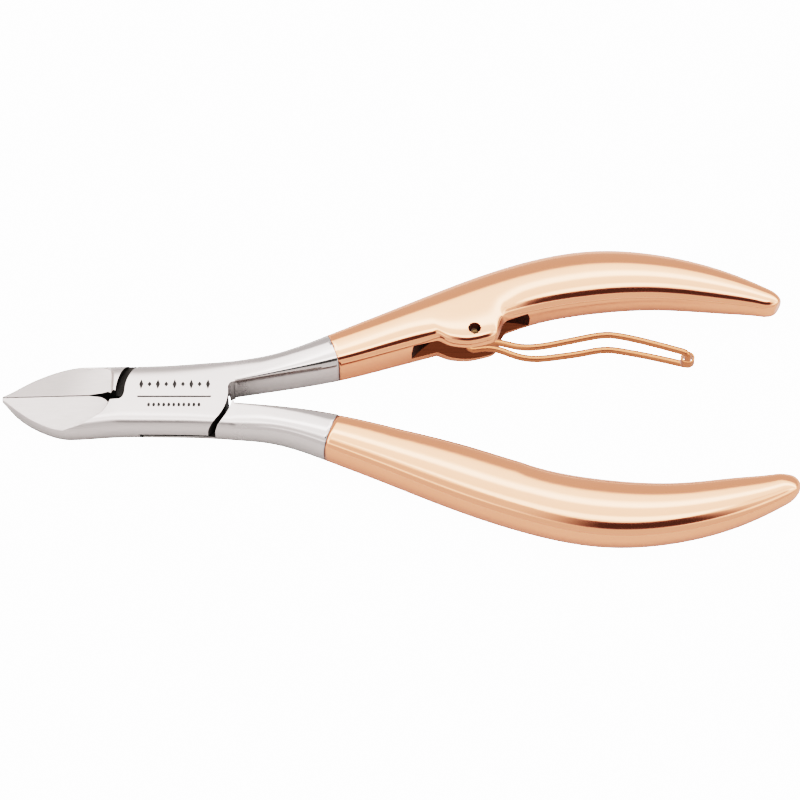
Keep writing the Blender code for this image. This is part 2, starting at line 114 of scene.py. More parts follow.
CUT_ASIDE = 9.0

# The engraving on the lap plate
ENGRAVING_DEPTH = 0.08
RULE_HALF_LENGTH = 5.5
RULE_LOW_Y = -1.12
RULE_HIGH_Y = -0.9
LOZENGE_COUNT = 9
LOZENGE_SPACING = 1.25
LOZENGE_Y = 1.25
LOZENGE_HALF_WIDTH = 0.3
LOZENGE_LENGTHS = (0.85, 0.45)
DOT_COUNT = 11
DOT_SPACING = 0.75
DOT_Y = -2.5
DOT_RADII = (0.2, 0.34)

# Half width of the head and of each jaw, from the tip to the shank: x, half width
HEAD_OUTLINE = ((-25.9, 0.3), (-25.0, 0.85), (-24.1, 1.5), (-22.4, 2.8), (-20.5, 4.0), (-18.7, 4.9),
                (-17.0, 5.5), (-14.5, 5.8), (-11.5, 5.8), (-3.0, 5.85), (2.0, 5.95), (6.0, 6.2), (9.0, 6.5))
# How far in from the outline the head's edges are rounded: x, depth
HEAD_ROUNDING = ((-25.9, 0.25), (-22.0, 0.7), (-17.0, 1.2), (-14.0, 2.0), (-6.0, 2.2), (9.0, 1.9))
# Front and back surfaces of the jaws and the head: x, back z, front z
HEAD_FACES = ((-25.9, 1.7, 3.15), (-24.9, 0.75, 3.2), (-23.4, 0.0, 3.25), (-19.5, -0.5, 3.4),
              (-16.5, -0.7, 3.6), (-13.5, -0.7, 4.0), (-11.0, -0.5, 4.45), (-8.5, -0.3, 4.8),
              (0.0, -0.2, 4.95), (9.0, -0.1, 4.85))
# The head's far side (+y) against its outline: x, how much narrower, how much deeper its rounding
FAR_SIDE = ((-25.9, 0.0, 0.0), (-14.0, 0.0, 0.0), (-9.0, 0.25, 1.0), (-5.0, 0.25, 1.0), (-1.0, 0.15, 1.0),
            (1.5, 0.0, 1.0), (4.0, -0.1, 0.9), (9.0, 0.0, 0.35))
# The head's near side (-y): x, how much wider
NEAR_SIDE = ((-25.9, 0.1), (-24.5, 0.35), (-20.0, 0.35), (-14.0, 0.2), (0.0, 0.15), (9.0, 0.0))
# Where the ground faces end: how far out from the cutting edge, x
UPPER_GROUND_END = ((0.0, -9.6), (3.2, -9.6), (3.7, -9.7), (4.2, -9.9), (4.55, -10.3), (4.8, -11.0),
                    (4.95, -12.2), (5.1, -13.6), (5.6, -15.6))
LOWER_GROUND_END = ((0.0, -9.9), (0.9, -9.9), (1.8, -10.15), (2.7, -10.6), (3.6, -11.25), (4.4, -12.45),
                    (4.9, -13.5), (5.4, -14.8), (5.65, -16.5), (6.0, -18.0))
# How steeply the ground faces fall away from the cutting edge: x, slope
UPPER_GROUND_SLOPE = ((-25.9, 0.22), (-17.0, 0.2), (-12.5, 0.0), (-9.6, -0.08))
LOWER_GROUND_SLOPE = ((-25.9, 0.2), (-17.0, 0.15), (-12.0, 0.07), (-9.6, 0.0))
# Where the jaws' facing sides lie in shadow: x from and to, most distance from the middle
NOTCH_SHADE_X = (-16.5, -7.4)
NOTCH_SHADE_Y = 1.6
# The jaw side of each head's cut: x, how far past the middle, from the round plate to the cutting edge
FRONT_NOTCH = ((-7.55, 0.3), (-7.7, 0.85), (-7.95, 1.2), (-8.3, 1.38), (-9.8, 1.4), (-10.3, 0.8),
               (-11.0, 0.35))
REAR_NOTCH = ((-8.8, 0.1), (-9.5, 0.3), (-10.0, 0.55), (-10.9, 0.3))
NOTCH_END_X = -12.8
CROTCH = ((8.12, 1.3), (8.35, 1.6), (8.8, 1.75), (9.3, 1.75), (12.5, 1.4), (12.5, -9.0), (-2.0, -9.0))
ARM_STATIONS = ((9.0, 4.15, 2.35, 2.4, 2.4), (16.0, 5.25, 2.4, 2.85, 2.75), (23.6, 7.45, 3.2, 3.2, 3.1),
                (32.0, 10.65, 3.9, 3.45, 3.35), (42.0, 14.65, 4.65, 3.65, 3.6),
                (52.5, 18.75, 4.95, 3.75, 3.75), (63.0, 21.1, 5.1, 3.75, 3.75),
                (74.0, 20.95, 4.35, 3.75, 3.45), (84.0, 18.85, 3.15, 3.75, 2.8),
                (89.5, 17.1, 2.1, 3.75, 2.15), (91.2, 16.3, 1.75, 3.75, 1.9), (92.6, 15.3, 1.3, 3.75, 1.55))
# The lower arm against the upper one: x, half width added, centre line moved out
LOWER_ARM = ((9.0, 0.0, 0.0), (20.0, 0.05, -0.05), (30.0, 0.08, -0.06), (45.0, 0.08, -0.06),
             (60.0, 0.01, 0.0), (70.0, 0.15, 0.12), (79.0, 0.3, 0.18), (86.0, 0.42, 0.05), (92.6, 0.3, 0.0))
# Superellipse powers of the arms' sections: x, outer front, inner front, outer back, inner back
ARM_ROUNDNESS = ((9.0, 2.5, 5.0, 3.0, 5.0), (16.0, 2.5, 4.0, 3.0, 5.0), (23.6, 2.35, 3.1, 3.0, 5.0),
                 (32.0, 2.2, 2.7, 3.0, 5.0), (36.0, 2.15, 2.8, 3.0, 5.0), (39.5, 2.1, 4.5, 3.0, 4.5),
                 (46.5, 2.1, 4.5, 2.8, 4.0), (50.0, 2.1, 2.6, 2.7, 3.0), (54.0, 2.1, 2.4, 2.6, 2.6),
                 (92.6, 2.1, 2.3, 2.4, 2.4))
# The lower handle has no lobe: the most that its inner front power may be
LOWER_INNER_POWER = 2.8
# Depths of the sections' rounding as shares of the half width: x, outer side, inner side
ARM_DEPTHS = ((9.0, 0.95, 0.35), (13.0, 1.1, 0.55), (18.0, 1.0, 0.8), (22.0, 0.99, 0.99),
              (92.6, 0.99, 0.99))
EAR_LOBE = ((36.8, 0.0), (37.9, 0.1), (38.6, 0.95), (39.9, 2.0), (41.1, 2.6), (42.6, 2.95), (44.2, 3.1),
            (45.1, 3.0), (45.9, 2.4), (46.8, 1.25), (47.9, 0.15), (48.8, 0.0), (50.0, 0.0))
LEG_POINTS = ((48.2, 9.05), (51.4, 8.0), (54.2, 7.7), (57.5, 8.2), (61.5, 9.05), (65.1, 9.65), (67.8, 9.25),
              (71.5, 8.3), (75.3, 7.15))
LEG_SPREAD = ((43.0, 0.65), (46.0, 0.7), (48.5, 0.9), (54.0, 1.55), (61.0, 1.95),
              (68.0, 1.9), (74.0, 1.65), (78.0, 1.5))

# Fineness of the meshes
CAP_STEPS = 22
TOP_POINTS = 34
BACK_POINTS = 8
WIRE_SIDES = 28
HANDLE_SPACING = 0.5
LOBE_SPACING = 0.2

# Camera: what it looks at, how far it stands and how high it looks down from
AIM = (33.75, -0.17, 2.63)
CAMERA_DISTANCE = 555.0
CAMERA_ELEVATION = 55.0
LENS = 166.5

# Light level round the studio: degrees round the x axis from the front horizon, level
WORLD_STOPS = ((-180.0, 0.8), (-60.0, 0.8), (-5.0, 1.0), (30.0, 1.0), (36.0, 2.2), (64.0, 2.2),
               (68.0, 3.8), (77.0, 3.8), (82.0, 2.3), (104.0, 2.4), (110.0, 4.6), (117.0, 4.6),
               (123.0, 2.7), (132.0, 2.5), (138.0, 0.85), (180.0, 0.85))
# The dark strip: lowest and highest elevation, leftmost and rightmost azimuth from the front
STRIP = (32.0, 60.0, -20.0, 46.0)
STRIP_RIGHT = 0.95
STRIP_LEFT = 0.45
# Brightness of the white that the camera sees behind the object
PAPER_LEVEL = 7.0
# The colour ramp holds levels as shares of this
LEVEL_SCALE = 5.0


def natural_spline(points):
    """A function through (x, value) points, with a continuous second derivative."""
    x = np.array([p[0] for p in points])
    y = np.array([p[1] for p in points])
    count = len(x)
    step = np.diff(x)
    matrix = np.eye(count)
    side = np.zeros(count)
    for i in range(1, count - 1):
        matrix[i, i - 1] = step[i - 1]
        matrix[i, i] = 2 * (step[i - 1] + step[i])
        matrix[i, i + 1] = step[i]
        side[i] = 6 * ((y[i + 1] - y[i]) / step[i] - (y[i] - y[i - 1]) / step[i - 1])
    bend = np.linalg.solve(matrix, side)

    def value(at):
        i = np.clip(np.searchsorted(x, at) - 1, 0, count - 2)
        left = (x[i + 1] - at) / step[i]
        right = (at - x[i]) / step[i]
        curve = (left ** 3 - left) * bend[i] + (right ** 3 - right) * bend[i + 1]
        return left * y[i] + right * y[i + 1] + curve * step[i] ** 2 / 6

    return value


def linear(points):
    x = [p[0] for p in points]
    y = [p[1] for p in points]
    return lambda at: np.interp(at, x, y)


def soft_linear(points, blur):
    """Straight runs between the points with their corners rounded over the given distance."""
    plain = linear(points)
    offsets = np.linspace(-1.0, 1.0, 9)
    weights = 1.0 - np.abs(offsets) * 0.9
    return lambda at: sum(w * plain(at + o * blur) for o, w in zip(offsets, weights)) / weights.sum()


def column(table, index):
    return [(row[0], row[index]) for row in table]


HEAD_WIDTH = natural_spline(HEAD_OUTLINE)
HEAD_DEPTH = soft_linear(HEAD_ROUNDING, 1.2)
HEAD_LOW = natural_spline(column(HEAD_FACES, 1))
HEAD_HIGH = natural_spline(column(HEAD_FACES, 2))
ARM_CENTRE = natural_spline(column(ARM_STATIONS, 1))
ARM_HALF = natural_spline(column(ARM_STATIONS, 2))
ARM_MID = natural_spline(column(ARM_STATIONS, 3))
ARM_THICK = natural_spline(column(ARM_STATIONS, 4))
ARM_POWERS = [soft_linear(column(ARM_ROUNDNESS, i), 3.0) for i in range(1, 5)]
OUTER_DEPTH = linear(column(ARM_DEPTHS, 1))
INNER_DEPTH = linear(column(ARM_DEPTHS, 2))
LOWER_HALF = natural_spline(column(LOWER_ARM, 1))
LOWER_CENTRE = natural_spline(column(LOWER_ARM, 2))
FAR_TRIM = soft_linear(column(FAR_SIDE, 1), 1.2)
FAR_DEPTH = soft_linear(column(FAR_SIDE, 2), 1.2)
NEAR_GROWTH = soft_linear(NEAR_SIDE, 1.0)
EAR_SIZE = natural_spline(EAR_LOBE)


def smooth_min(a, b, radius):
    """The lesser of two heights, with the corner between them rounded."""
    mix = np.clip(0.5 + 0.5 * (b - a) / radius, 0.0, 1.0)
    return b * (1 - mix) + a * mix - radius * mix * (1 - mix)


def smooth_step(value):
    held = np.clip(value, 0.0, 1.0)
    return held * held * (3 - 2 * held)


# A ring's own numbering: over the outer edge, along the back, over the inner edge, along the front
CAP_ANGLE = np.linspace(math.pi / 2, -math.pi / 2, 2 * CAP_STEPS + 1)
OUTER_COUNT = len(CAP_ANGLE)
BACK_SHARE = np.linspace(0.0, 1.0, BACK_POINTS + 2)[1:-1]
TOP_SHARE = np.linspace(0.0, 1.0, TOP_POINTS + 2)[1:-1]
RING_SIZE = 2 * OUTER_COUNT + BACK_POINTS + TOP_POINTS
RING_NUMBER = np.arange(RING_SIZE)
INNER_START = OUTER_COUNT + BACK_POINTS
OUTER_BACK = (RING_NUMBER > CAP_STEPS) & (RING_NUMBER < OUTER_COUNT)
INNER_BACK = (RING_NUMBER >= INNER_START) & (RING_NUMBER < INNER_START + CAP_STEPS)


def section(outer, inner, low, high, outer_depth, inner_depth, outer_power, inner_power):
    """Distance out and height of each point of a ring. Each argument is one value per ring point."""
    one = slice(0, OUTER_COUNT)
    two = slice(OUTER_COUNT, OUTER_COUNT + BACK_POINTS)
    three = slice(OUTER_COUNT + BACK_POINTS, 2 * OUTER_COUNT + BACK_POINTS)
    four = slice(2 * OUTER_COUNT + BACK_POINTS, RING_SIZE)
    mid = (low + high) / 2
    half = (high - low) / 2
    u = np.zeros(RING_SIZE)
    z = np.zeros(RING_SIZE)
    cosine = np.abs(np.cos(CAP_ANGLE))
    sine = np.sin(CAP_ANGLE)
    rise = np.sign(sine) * np.abs(sine) ** (2 / outer_power[one])
    u[one] = outer[one] - outer_depth[one] * (1 - cosine ** (2 / outer_power[one]))
    z[one] = mid[one] + half[one] * rise
    start = (outer - outer_depth)[two]
    end = (inner + inner_depth)[two]
    u[two] = start + (end - start) * BACK_SHARE
    z[two] = low[two]
    turned = -sine
    rise = np.sign(turned) * np.abs(turned) ** (2 / inner_power[three])
    u[three] = inner[three] + inner_depth[three] * (1 - cosine ** (2 / inner_power[three]))
    z[three] = mid[three] + half[three] * rise
    start = (inner + inner_depth)[four]
    end = (outer - outer_depth)[four]
    u[four] = start + (end - start) * TOP_SHARE
    z[four] = high[four]
    return u, z


def every(value):
    return np.full(RING_SIZE, float(value))


def bar_side(x, far):
    """Half width and depth of the rounding on the far (+y) or near (-y) side of the head."""
    width = HEAD_WIDTH(x)
    depth = HEAD_DEPTH(x)
    if far:
        return width - FAR_TRIM(x), depth + FAR_DEPTH(x)
    return width + NEAR_GROWTH(x), depth


def jaw_ring(station, side, ends, slopes):
    """A section of the jaw opposite the given side, bent to run along the ground face's end."""
    boundary = soft_linear(ends, 0.25)
    start_x = ends[0][1]
    if station < start_x:
        share = smooth_step((station + JAW_LENGTH) / (start_x + JAW_LENGTH))
    else:
        share = 1.0
    x = every(station)
    for _ in range(6):
        width, depth = bar_side(x, side < 0)
        width = np.maximum(width, 0.3)
        depth = np.minimum(depth, width - JAW_GAP - 0.01)
        high = np.minimum(HEAD_THICKNESS, HEAD_HIGH(x))
        low = HEAD_LOW(x)
        u, z = section(every(-JAW_GAP), -width, low, high, every(0.0), depth, every(2.0),
                       every(HEAD_CAP_POWER))
        x = 0.5 * x + 0.5 * (station + share * (boundary(-u) - start_x))
    plane = CUT_EDGE_TIP_Z + CUT_EDGE_RISE * (x + JAW_LENGTH) + soft_linear(slopes, 1.5)(x) * u
    past = smooth_step((station - start_x) / 0.45)
    ground = smooth_min(z, plane, 0.16)
    top = smooth_min(high, plane, 0.16) * (1 - past) + high * past
    one = slice(0, OUTER_COUNT)
    z = np.where(z > plane - 0.3, ground * (1 - past) + z * past, z)
    z[one] = low[one] + (top[one] - low[one]) * (1 + np.sin(CAP_ANGLE)) / 2
    return np.stack([x, side * u, np.maximum(0.0, z)], 1)


def plate_ring(station, side, ends):
    """A section of the lap plate's full bar, still bent near the jaw."""
    boundary = soft_linear(ends, 0.25)
    start_x = ends[0][1]
    share = 1.0 - smooth_step((station + 9.0) / 14.0)
    x = every(station)
    for _ in range(6):
        outer, outer_depth = bar_side(x, side > 0)
        inner, inner_depth = bar_side(x, side < 0)
        high = np.minimum(HEAD_THICKNESS, HEAD_HIGH(x))
        u, z = section(outer, -inner, HEAD_LOW(x), high, outer_depth, inner_depth, every(HEAD_CAP_POWER),
                       every(HEAD_CAP_POWER))
        x = 0.5 * x + 0.5 * (station + share * (boundary(np.maximum(-u, 0.0)) - start_x))
    return np.stack([x, side * u, np.maximum(0.0, z)], 1)


def arm_lean(x):
    slope = (ARM_CENTRE(x + 0.01) - ARM_CENTRE(x - 0.01)) / 0.02
    return math.atan(slope) * min(1.0, max(0.0, (x - SHANK_X) / 8.0))


def arm_ring(x, side, lobe, shrink=0.0):
    """A section of the shank or handle, square to its centre line."""
    half = ARM_HALF(x) - shrink
    centre = ARM_CENTRE(x)
    if side < 0:
        half += LOWER_HALF(x)
        centre += LOWER_CENTRE(x)
    mid = min(HANDLE_MID, ARM_MID(x))
    thick = min(mid, ARM_THICK(x)) - shrink
    inner = half
    if lobe and EAR_LOBE[0][0] < x < EAR_LOBE[-1][0]:
        inner += max(0.0, EAR_SIZE(x))
    outer_front, inner_front, outer_back, inner_back = [power(x) for power in ARM_POWERS]
    if side < 0 and x > SEAM_X:
        inner_front = min(inner_front, LOWER_INNER_POWER)
    u, z = section(every(half), every(-inner), every(mid - thick), every(mid + thick),
                   every(half * OUTER_DEPTH(x)), every(inner * INNER_DEPTH(x)),
                   np.where(OUTER_BACK, outer_back, outer_front),
                   np.where(INNER_BACK, inner_back, inner_front))
    lean = arm_lean(x)
    return np.stack([x - u * math.sin(lean), side * (centre + u * math.cos(lean)), z], 1)


def link(obj):
    bpy.context.scene.collection.objects.link(obj)
    return obj


def loft(name, rings):
    """A closed smooth mesh through rings of equal length, its two ends filled by fans."""
    size = len(rings[0])
    points = [MM * np.array(ring) for ring in rings]
    verts = np.concatenate(points + [points[0].mean(0)[None], points[-1].mean(0)[None]])
    faces = []
    for row in range(len(rings) - 1):
        base = row * size
        for i in range(size):
            j = (i + 1) % size
            faces.append((base + i, base + j, base + size + j, base + size + i))
    first = len(rings) * size
    last = (len(rings) - 1) * size
    for i in range(size):
        j = (i + 1) % size
        faces.append((first, j, i))
        faces.append((first + 1, last + i, last + j))
    mesh = bpy.data.meshes.new(name)
    mesh.from_pydata([tuple(v) for v in verts], [], faces)
    bm = bmesh.new()
    bm.from_mesh(mesh)
    bmesh.ops.remove_doubles(bm, verts=bm.verts, dist=0.0005 * MM)
    bmesh.ops.recalc_face_normals(bm, faces=bm.faces)
    bmesh.ops.triangulate(bm, faces=bm.faces)
    bm.to_mesh(mesh)
    bm.free()
    mesh.shade_smooth()
    return link(bpy.data.objects.new(name, mesh))


def prism(outlines, low, high):
    """An upright cutter with one or more outlines in the plane."""
    bm = bmesh.new()
    for outline in outlines:
        base = [bm.verts.new((MM * x, MM * y, MM * low)) for x, y in outline]
        top = [bm.verts.new((MM * x, MM * y, MM * high)) for x, y in outline]
        bm.faces.new(base)
        bm.faces.new(top)
        for i in range(len(outline)):
            j = (i + 1) % len(outline)
            bm.faces.new((base[i], base[j], top[j], top[i]))
    return closed(bm, "cutter")


def closed(bm, name):
    bmesh.ops.recalc_face_normals(bm, faces=bm.faces)
    bmesh.ops.triangulate(bm, faces=bm.faces)
    mesh = bpy.data.meshes.new(name)
    bm.to_mesh(mesh)
    bm.free()
    return link(bpy.data.objects.new(name, mesh))


def cylinder(radius, low, high, centre=(0.0, 0.0), sides=192):
    bm = bmesh.new()
    bmesh.ops.create_cone(bm, cap_ends=True, segments=sides, radius1=MM * radius, radius2=MM * radius,
                          depth=MM * (high - low))
    bmesh.ops.translate(bm, verts=bm.verts, vec=(MM * centre[0], MM * centre[1], MM * (low + high) / 2))
    return closed(bm, "cutter")


def cut(obj, cutters, operation="DIFFERENCE"):
    """Cuts obj by each cutter in turn and removes the cutters."""
    for cutter in cutters:
        modifier = obj.modifiers.new("cut", "BOOLEAN")
        modifier.operation = operation
        modifier.solver = "MANIFOLD"
        modifier.object = cutter
    graph = bpy.context.evaluated_depsgraph_get()
    mesh = bpy.data.meshes.new_from_object(obj.evaluated_get(graph))
    obj.modifiers.clear()
    obj.data = mesh
    for cutter in cutters:
        bpy.data.objects.remove(cutter)


def smooth_source(obj):
    """The uncut surface, kept as a search tree with its vertex normals."""
    mesh = obj.data
    verts = np.zeros(len(mesh.vertices) * 3)
    mesh.vertices.foreach_get("co", verts)
    normals = np.zeros(len(mesh.vertices) * 3)
    mesh.vertex_normals.foreach_get("vector", normals)
    polygons = [tuple(p.vertices) for p in mesh.polygons]
    verts = verts.reshape(-1, 3)
    tree = BVHTree.FromPolygons([tuple(v) for v in verts], polygons)
    return tree, verts, normals.reshape(-1, 3), polygons


def set_normals(obj, source):
    """Gives what is left of the uncut surface its smooth normals, and the cut faces their own."""
    tree, verts, normals, polygons = source
    mesh = obj.data
    mesh.shade_smooth()
    mesh.set_sharp_from_angle(angle=math.radians(32))
    own = np.zeros(len(mesh.loops) * 3)
    mesh.corner_normals.foreach_get("vector", own)
    own = own.reshape(-1, 3)
    for polygon in mesh.polygons:
        face_normal = polygon.normal
        for loop in polygon.loop_indices:
            point = mesh.vertices[mesh.loops[loop].vertex_index].co
            hit, hit_normal, index, distance = tree.find_nearest(point)
            if distance > 0.004 * MM or hit_normal.dot(face_normal) < 0.94:
                continue
            a, b, c = polygons[index]
            weights = barycentric(point, verts[a], verts[b], verts[c])
            own[loop] = weights[0] * normals[a] + weights[1] * normals[b] + weights[2] * normals[c]
    own /= np.maximum(np.linalg.norm(own, axis=1, keepdims=True), 1e-12)
    mesh.normals_split_custom_set([tuple(n) for n in own])


def barycentric(point, a, b, c):
    ab = b - a
    ac = c - a
    ap = np.array(point) - a
    d00 = ab @ ab
    d01 = ab @ ac
    d11 = ac @ ac
    d20 = ap @ ab
    d21 = ap @ ac
    below = d00 * d11 - d01 * d01
    if abs(below) < 1e-30:
        return 1.0, 0.0, 0.0
    v = min(1.0, max(0.0, (d11 * d20 - d01 * d21) / below))
    w = min(1.0 - v, max(0.0, (d00 * d21 - d01 * d20) / below))
    return 1.0 - v - w, v, w


def arc(radius, start, end, steps=60):
    angles = np.radians(np.linspace(start, end, steps + 1))
    return [(radius * math.cos(a), radius * math.sin(a)) for a in angles]


def gap_cutter(side, radius, notch):
    """Clears a head from the other one's jaw, round its own lap plate and along the cutting edge."""
    outline = arc(radius, 75, 178)
    outline += [(x, -past) for x, past in notch]
    outline += [(NOTCH_END_X, -JAW_GAP), (NOTCH_END_X, CUT_ASIDE), (2.0, CUT_ASIDE)]
    return prism([[(x, side * y) for x, y in outline]], CUT_LOW, CUT_HIGH)


def crotch_cutter(side):
    """Clears a head from the other one's shank."""
    outline = arc(ARM_SIDE_RADIUS, -105, 6) + list(CROTCH)
    return prism([[(x, side * y) for x, y in outline]], CUT_LOW, CUT_HIGH)


def recess_cutters(front):
    """A head's round recess for the other head's lap plate: tight at the jaw, wider at the shank."""
    if front:
        return [cylinder(JAW_SIDE_RADIUS + FIT_GAP, CUT_LOW, LAP_FLOOR_FRONT),
                prism([arc(FRONT_RECESS_RADIUS, -90, 120)], CUT_LOW, LAP_FLOOR_FRONT)]
    return [cylinder(JAW_SIDE_RADIUS + FIT_GAP, LAP_FLOOR_REAR, CUT_HIGH),
            # The rear head keeps a floor at GAP_FLOOR_Z in the gap, and this floor is painted with shade
            cylinder(REAR_RECESS_RADIUS, GAP_FLOOR_Z, CUT_HIGH),
            prism([arc(REAR_RECESS_RADIUS, -120, 90)], LAP_FLOOR_REAR, CUT_HIGH)]


def hollow_cutter(side):
    """The trough behind a cutting edge."""
    outline = ((-JAW_GAP, 2.4), (-JAW_GAP - 0.35, 2.3), (-1.5, 1.0), (-2.6, -0.5), (0.5, -0.5), (0.5, 2.4))
    bm = bmesh.new()
    near = [bm.verts.new((MM * HOLLOW_START_X, MM * side * -y, MM * z)) for y, z in outline]
    far = [bm.verts.new((MM * HOLLOW_END_X, MM * side * -y, MM * z)) for y, z in outline]
    bm.faces.new(near)
    bm.faces.new(far)
    for i in range(len(outline)):
        j = (i + 1) % len(outline)
        bm.faces.new((near[i], near[j], far[j], far[i]))
    return closed(bm, "cutter")


def engraving_cutter():
    """A plain rule with a row of lozenges above it and a row of dots below it."""
    outlines = [[(-RULE_HALF_LENGTH, RULE_LOW_Y), (RULE_HALF_LENGTH, RULE_LOW_Y),
                 (RULE_HALF_LENGTH, RULE_HIGH_Y), (-RULE_HALF_LENGTH, RULE_HIGH_Y)]]
    for i in range(LOZENGE_COUNT):
        x = LOZENGE_SPACING * (i - (LOZENGE_COUNT - 1) / 2)
        long = LOZENGE_LENGTHS[i % 2]
        outlines.append([(x - LOZENGE_HALF_WIDTH, LOZENGE_Y), (x, LOZENGE_Y - long),
                         (x + LOZENGE_HALF_WIDTH, LOZENGE_Y), (x, LOZENGE_Y + long)])
    for i in range(DOT_COUNT):
        x = DOT_SPACING * (i - (DOT_COUNT - 1) / 2)
        outlines.append([(x + DOT_RADII[0] * math.cos(a), DOT_Y + DOT_RADII[1] * math.sin(a))
                         for a in np.linspace(0, 2 * math.pi, 13)[:-1]])
    return prism(outlines, HEAD_THICKNESS - ENGRAVING_DEPTH, CUT_HIGH)


def paint(obj, materials, choose):
    """Gives each face the material that choose returns for its centre and normal, in mm."""
    obj.data.materials.clear()
    for material in materials:
        obj.data.materials.append(material)
    for polygon in obj.data.polygons:
        centre = polygon.center / MM
        polygon.material_index = choose(centre, polygon.normal)


def spread(start, end, spacing):
    return np.linspace(start, end, max(2, round((end - start) / spacing) + 1))


def build_head(name, front, materials):
    """One arm's bare steel part, with its jaw, its half of the lap joint and its shank."""
    side = 1.0 if front else -1.0
    ends = LOWER_GROUND_END if front else UPPER_GROUND_END
    slopes = LOWER_GROUND_SLOPE if front else UPPER_GROUND_SLOPE
    start_x = ends[0][1]
    tip = -JAW_LENGTH + 0.9 * (1 - np.cos(np.linspace(0.0, math.pi / 2, 9)))
    stations = list(tip) + list(spread(-JAW_LENGTH + 1.0, start_x - 0.3, 0.25)[1:])
    stations += list(spread(start_x - 0.24, start_x + 0.54, 0.06))
    rings = [jaw_ring(x, side, ends, slopes) for x in stations]
    rings += [plate_ring(x, side, ends) for x in spread(start_x + 0.8, SHANK_X - 0.3, 0.4)]
    rings += [arm_ring(x, side, False) for x in spread(SHANK_X, SEAM_X - SEAM_GAP / 2, 0.4)]
    body = loft(name, rings)
    source = smooth_source(body)
    notch = FRONT_NOTCH if front else REAR_NOTCH
    bore_top = RIVET_TOP_Z + FIT_GAP if front else CUT_HIGH
    cutters = [gap_cutter(side, JAW_SIDE_RADIUS, notch), crotch_cutter(side), hollow_cutter(-side),
               cylinder(RIVET_RADIUS + FIT_GAP, CUT_LOW, bore_top)]
    cutters += recess_cutters(front)
    if front:
        cutters.append(engraving_cutter())
    cut(body, cutters)
    set_normals(body, source)

    walls = (JAW_SIDE_RADIUS, JAW_SIDE_RADIUS + FIT_GAP, ARM_SIDE_RADIUS, FRONT_RECESS_RADIUS,
             REAR_RECESS_RADIUS)
    floors = (LAP_FLOOR_FRONT,) if front else (LAP_FLOOR_REAR, GAP_FLOOR_Z)

    def choose(centre, normal):
        radius = math.hypot(centre.x, centre.y)
        # Painted shade: the lap floors, the gap floor, the round walls of the gaps and recesses, the rivet
        # bore and the jaws' facing sides get the near-black material
        if radius < REAR_RECESS_RADIUS + 0.1 and any(abs(centre.z - floor) < 0.02 for floor in floors):
            return 2
        if abs(centre.x * normal.x + centre.y * normal.y) > 0.98 * radius:
            if any(abs(radius - wall) < 0.05 for wall in walls):
                return 2
        if radius < RIVET_RADIUS + FIT_GAP + 0.05 and centre.z > 0.1 and abs(normal.z) < 0.5:
            return 2
        faces_jaw = side * normal.y > 0.5 and abs(normal.z) < 0.3
        if faces_jaw and NOTCH_SHADE_X[0] < centre.x < NOTCH_SHADE_X[1] and abs(centre.y) < NOTCH_SHADE_Y:
            return 2
        # The engraving's floor gets the same near-black material as its own dark fill
        if front and abs(centre.x) < 6.0 and -3.0 < centre.y < 2.5:
            if HEAD_THICKNESS - 0.1 < centre.z < HEAD_THICKNESS - 0.005:
                return 2
        if centre.x < -9.3 and normal.z > 0.9:
            boundary = np.interp(abs(centre.y), [e[0] for e in ends], [e[1] for e in ends])
            if centre.x < boundary + 0.1:
                return 1
        return 0

    paint(body, materials, choose)
    return body


def end_rings(end_x, side, lobe, rounding):
    """The last rings of a handle, drawn in to round its end."""
    rings = []
    for angle in np.linspace(0.0, math.pi / 2, 9)[1:]:
        x = end_x - rounding * (1 - math.sin(angle))
        rings.append(arm_ring(x, side, lobe, rounding * (1 - math.cos(angle)) * END_TAPER))
    return rings


def build_handle(name, side, lobe, end_x, rounding, materials):
    fine = LOBE_SPACING if lobe else HANDLE_SPACING
    rings = [arm_ring(x, side, lobe) for x in spread(SEAM_X + SEAM_GAP / 2, LOBE_START_X, HANDLE_SPACING)]
    rings += [arm_ring(x, side, lobe) for x in spread(LOBE_START_X, LOBE_END_X, fine)[1:]]
    rings += [arm_ring(x, side, lobe) for x in spread(LOBE_END_X, end_x - rounding, HANDLE_SPACING)[1:]]
    rings += end_rings(end_x, side, lobe, rounding)
    body = loft(name, rings)
    if lobe:
        source = smooth_source(body)
        low = HANDLE_MID - SLOT_WIDTH / 2
        high = HANDLE_MID + SLOT_WIDTH / 2
        cut(body, [cylinder(SLOT_CUTTER_RADIUS, low, high, SLOT_CUTTER_CENTRE, 256),
                   cylinder(PIN_HOLE_RADIUS, CUT_LOW, CUT_HIGH, PIN_CENTRE, 64)])
        set_normals(body, source)

    def choose(centre, normal):
        # Painted shade: the slot's walls and inner faces and the pin hole's wall get the near-black gold
        if lobe:
            from_cutter = math.hypot(centre.x - SLOT_CUTTER_CENTRE[0], centre.y - SLOT_CUTTER_CENTRE[1])
            from_pin = math.hypot(centre.x - PIN_CENTRE[0], centre.y - PIN_CENTRE[1])
            inside = abs(centre.z - HANDLE_MID) < SLOT_WIDTH / 2 + 0.01
            if inside and (abs(from_cutter - SLOT_CUTTER_RADIUS) < 0.03 or abs(normal.z) > 0.99):
                return 1
            if abs(from_pin - PIN_HOLE_RADIUS) < 0.03:
                return 1
        return 0

    paint(body, materials, choose)
    return body


